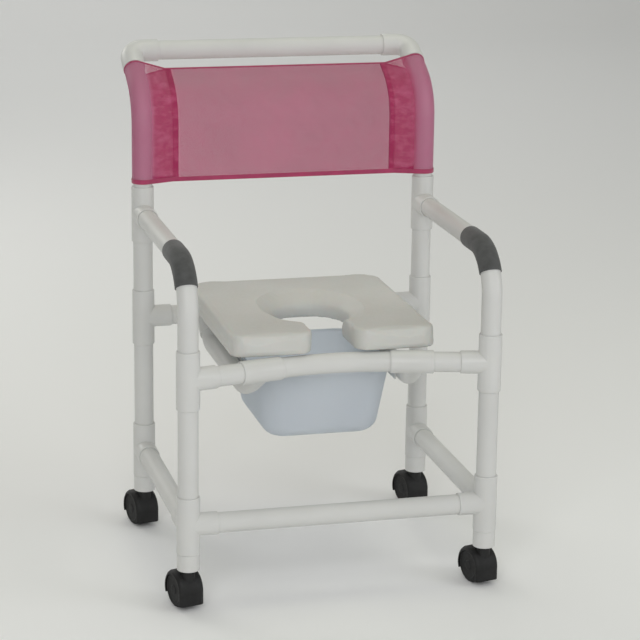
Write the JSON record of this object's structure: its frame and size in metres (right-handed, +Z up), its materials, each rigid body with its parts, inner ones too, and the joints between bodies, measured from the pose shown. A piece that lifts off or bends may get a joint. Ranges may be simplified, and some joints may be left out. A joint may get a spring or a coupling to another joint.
{
  "type": "commode chair",
  "caption": "Wheeled shower and commode chair in white PVC tube with an open-front lift-up seat, slide-out pail, mesh back and push bar.",
  "frame": {"origin": "on the floor, at the bottom centre of the bounding box", "axes": "+Z up, the front of the chair faces -Y, +X is to the right of somebody who faces the front"},
  "size_m": [0.7036, 0.6939, 1.0767],
  "materials": {
    "pvc_tube": "satin off-white extruded PVC",
    "pvc_fitting": "satin off-white moulded PVC, a little glossier than the tube",
    "grip_foam": "matt dark grey closed-cell foam",
    "mesh_fabric": "dusty mauve vinyl-coated open mesh with magenta binding",
    "seat_skin": "off-white vinyl-skinned foam, soft sheen",
    "seat_board": "matt off-white moulded board",
    "clip_plastic": "white nylon",
    "runner_plastic": "white polyethylene strip",
    "pail_plastic": "translucent bluish white polyethylene",
    "screw_steel": "stainless steel",
    "stem_steel": "zinc-plated steel",
    "caster_plastic": "black nylon with fine grain",
    "wheel_tread": "black nylon wheel with a soft tread"
  },
  "bodies": {
    "frame": {"arm_tube_left": "pvc_tube", "arm_tube_right": "pvc_tube", "front_lower_leg_left": "pvc_tube", "front_lower_leg_right": "pvc_tube", "rear_lower_leg_left": "pvc_tube", "rear_lower_leg_right": "pvc_tube", "rear_mid_posts": "pvc_tube", "back_post_left": "pvc_tube", "back_post_right": "pvc_tube", "push_bar": "pvc_tube", "push_bar_elbows": "pvc_fitting", "arm_tee_left": "pvc_fitting", "arm_tee_right": "pvc_fitting", "front_seat_tee_left": "pvc_fitting", "front_seat_tee_right": "pvc_fitting", "rear_seat_tee_left": "pvc_fitting", "rear_seat_tee_right": "pvc_fitting", "seat_rail_stubs": "pvc_tube", "front_seat_rail": "pvc_tube", "rear_seat_rail": "pvc_tube", "front_rail_tees": "pvc_fitting", "rear_rail_tees": "pvc_fitting", "pail_rail_left": "pvc_tube", "pail_rail_right": "pvc_tube", "front_lower_fitting_left": "pvc_fitting", "front_lower_fitting_right": "pvc_fitting", "rear_lower_fitting_left": "pvc_fitting", "rear_lower_fitting_right": "pvc_fitting", "front_lower_rail": "pvc_tube", "side_lower_rail_left": "pvc_tube", "side_lower_rail_right": "pvc_tube", "grip_left": "grip_foam", "grip_right": "grip_foam", "mesh_back": "mesh_fabric", "pail_runners": "runner_plastic", "runner_screws": "screw_steel", "caster_bushings": "pvc_fitting", "caster_stems": "stem_steel"},
    "seat": {"seat_pad": "seat_skin", "seat_board": "seat_board", "hinge_clips": "clip_plastic", "hinge_screws": "screw_steel"},
    "pail": {"pail": "pail_plastic"},
    "caster_front_left": {"caster_hood_front_left": "caster_plastic", "caster_axle_front_left": "stem_steel"},
    "inner_wheel_front_left_body": {"inner_wheel_front_left": "wheel_tread"},
    "outer_wheel_front_left_body": {"outer_wheel_front_left": "wheel_tread"},
    "caster_front_right": {"caster_hood_front_right": "caster_plastic", "caster_axle_front_right": "stem_steel"},
    "inner_wheel_front_right_body": {"inner_wheel_front_right": "wheel_tread"},
    "outer_wheel_front_right_body": {"outer_wheel_front_right": "wheel_tread"},
    "caster_rear_left": {"caster_hood_rear_left": "caster_plastic", "caster_axle_rear_left": "stem_steel"},
    "inner_wheel_rear_left_body": {"inner_wheel_rear_left": "wheel_tread"},
    "outer_wheel_rear_left_body": {"outer_wheel_rear_left": "wheel_tread"},
    "caster_rear_right": {"caster_hood_rear_right": "caster_plastic", "caster_axle_rear_right": "stem_steel"},
    "inner_wheel_rear_right_body": {"inner_wheel_rear_right": "wheel_tread"},
    "outer_wheel_rear_right_body": {"outer_wheel_rear_right": "wheel_tread"}
  },
  "joints": [
    {"name": "seat_hinge", "type": "hinge", "parent": "frame", "child": "seat", "pos_m": [0, 0.1775, 0.488], "axis": [-1, 0, 0], "range_deg": [0, 75]},
    {"name": "pail_slide", "type": "slide", "parent": "frame", "child": "pail", "axis": [0, 1, 0], "range_m": [0, 0.33]},
    {"name": "swivel_front_left", "type": "hinge", "parent": "frame", "child": "caster_front_left", "pos_m": [-0.317, -0.3225, 0.07], "axis": [0, 0, 1], "continuous": true},
    {"name": "inner_roll_front_left", "type": "hinge", "parent": "caster_front_left", "child": "inner_wheel_front_left_body", "pos_m": [-0.32208, -0.30212, 0.0375], "axis": [0.9703, 0.2419, 0], "continuous": true},
    {"name": "outer_roll_front_left", "type": "hinge", "parent": "caster_front_left", "child": "outer_wheel_front_left_body", "pos_m": [-0.32208, -0.30212, 0.0375], "axis": [0.9703, 0.2419, 0], "continuous": true},
    {"name": "swivel_front_right", "type": "hinge", "parent": "frame", "child": "caster_front_right", "pos_m": [0.317, -0.3225, 0.07], "axis": [0, 0, 1], "continuous": true},
    {"name": "inner_roll_front_right", "type": "hinge", "parent": "caster_front_right", "child": "inner_wheel_front_right_body", "pos_m": [0.31192, -0.30212, 0.0375], "axis": [0.9703, 0.2419, 0], "continuous": true},
    {"name": "outer_roll_front_right", "type": "hinge", "parent": "caster_front_right", "child": "outer_wheel_front_right_body", "pos_m": [0.31192, -0.30212, 0.0375], "axis": [0.9703, 0.2419, 0], "continuous": true},
    {"name": "swivel_rear_left", "type": "hinge", "parent": "frame", "child": "caster_rear_left", "pos_m": [-0.317, 0.1775, 0.07], "axis": [0, 0, 1], "continuous": true},
    {"name": "inner_roll_rear_left", "type": "hinge", "parent": "caster_rear_left", "child": "inner_wheel_rear_left_body", "pos_m": [-0.32208, 0.19788, 0.0375], "axis": [0.9703, 0.2419, 0], "continuous": true},
    {"name": "outer_roll_rear_left", "type": "hinge", "parent": "caster_rear_left", "child": "outer_wheel_rear_left_body", "pos_m": [-0.32208, 0.19788, 0.0375], "axis": [0.9703, 0.2419, 0], "continuous": true},
    {"name": "swivel_rear_right", "type": "hinge", "parent": "frame", "child": "caster_rear_right", "pos_m": [0.317, 0.1775, 0.07], "axis": [0, 0, 1], "continuous": true},
    {"name": "inner_roll_rear_right", "type": "hinge", "parent": "caster_rear_right", "child": "inner_wheel_rear_right_body", "pos_m": [0.31192, 0.19788, 0.0375], "axis": [0.9703, 0.2419, 0], "continuous": true},
    {"name": "outer_roll_rear_right", "type": "hinge", "parent": "caster_rear_right", "child": "outer_wheel_rear_right_body", "pos_m": [0.31192, 0.19788, 0.0375], "axis": [0.9703, 0.2419, 0], "continuous": true}
  ]
}
